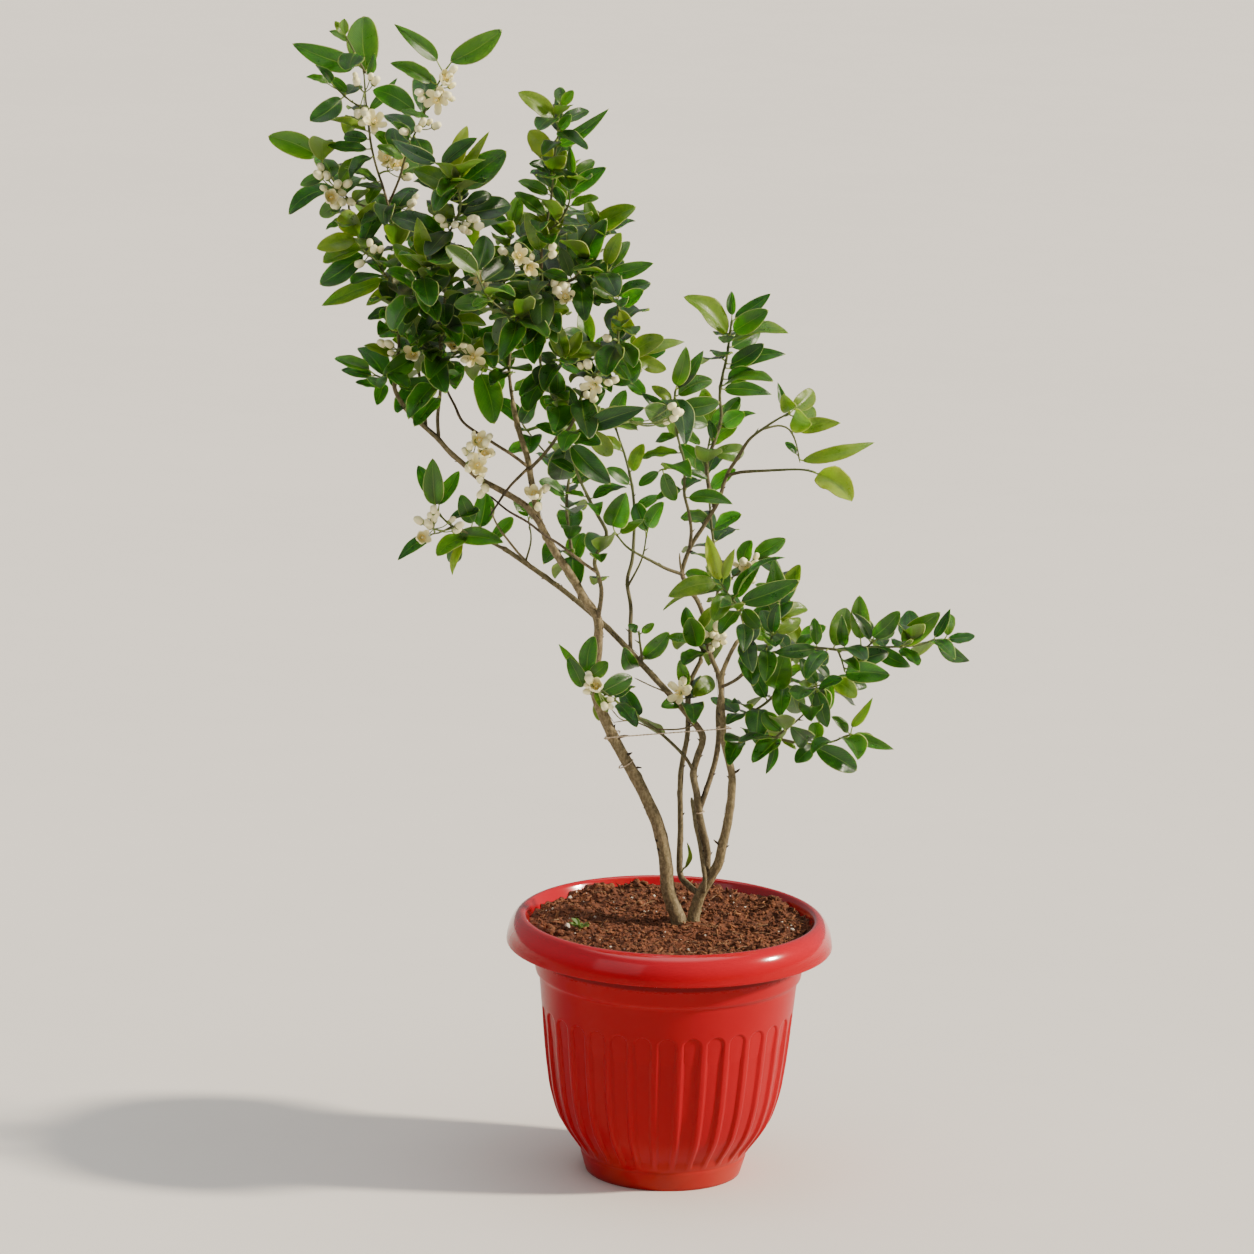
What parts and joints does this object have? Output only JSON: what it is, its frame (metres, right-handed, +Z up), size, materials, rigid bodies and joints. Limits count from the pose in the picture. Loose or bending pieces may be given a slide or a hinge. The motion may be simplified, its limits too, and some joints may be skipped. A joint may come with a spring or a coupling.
{
  "type": "potted lemon tree",
  "caption": "Young multi-stemmed lemon tree in leaf and bud, growing in potting soil in a fluted round plastic nursery pot with a broad rolled rim.",
  "frame": {"origin": "centre of the pot's underside, where it stands on the ground", "axes": "+Z up the tree; -Y towards the tree's broad front face, seen by the viewer; +X to the viewer's right, the side the shorter shoots spread to"},
  "size_m": [0.649, 0.3, 1.065],
  "materials": {
    "red_plastic": "moulded polypropylene with a soft gloss, glossier on the rim",
    "potting_soil": "loose moist potting mix with perlite",
    "bark": "thin grey-brown bark",
    "foliage": "waxy evergreen leaf on a green-brown twig",
    "blossom": "soft waxy cream petals",
    "thread": "thin undyed string",
    "weed": "soft green blades"
  },
  "bodies": {
    "root": {"pot": "red_plastic", "soil": "potting_soil", "left_trunk": "bark", "right_trunk": "bark", "arching_stem": "bark", "stub_stem": "bark", "rear_stem": "bark", "fork_stem": "bark", "left_branch": "bark", "left_upright_shoot": "foliage", "crown_tip_left_shoot": "foliage", "crown_tip_right_shoot": "foliage", "crown_left_shoot": "foliage", "inner_left_shoot": "foliage", "crown_middle_shoot": "foliage", "middle_upright_shoot": "foliage", "top_middle_shoot": "foliage", "crown_right_shoot": "foliage", "mid_right_shoot": "foliage", "round_leaf_shoot": "foliage", "slender_shoot": "foliage", "low_left_shoot": "foliage", "arching_tip_shoot": "foliage", "stem_sprig": "foliage", "rear_top_shoot": "foliage", "rear_crown_shoot": "foliage", "centre_cluster_shoot": "foliage", "right_inner_shoot": "foliage", "right_spray": "foliage", "right_mid_shoot": "foliage", "right_low_shoot": "foliage", "round_leaf_twig": "foliage", "centre_right_shoot": "foliage", "right_tall_shoot": "foliage", "right_far_shoot": "foliage", "bare_twig_shoot": "foliage", "back_left_shoot": "foliage", "back_middle_shoot": "foliage", "back_top_shoot": "foliage", "front_left_shoot": "foliage", "front_middle_shoot": "foliage", "back_right_shoot": "foliage", "tip_left_buds": "blossom", "tip_right_buds": "blossom", "upper_left_blossom": "blossom", "left_edge_flowers": "blossom", "inner_left_buds": "blossom", "crown_blossom": "blossom", "mid_right_buds": "blossom", "branch_blossom": "blossom", "trunk_blossom": "blossom", "low_tip_buds": "blossom", "low_left_buds": "blossom", "fork_buds": "blossom", "stem_blossom": "blossom", "right_blossom": "blossom", "tie_thread": "thread", "weed_sprig": "weed"}
  },
  "joints": []
}
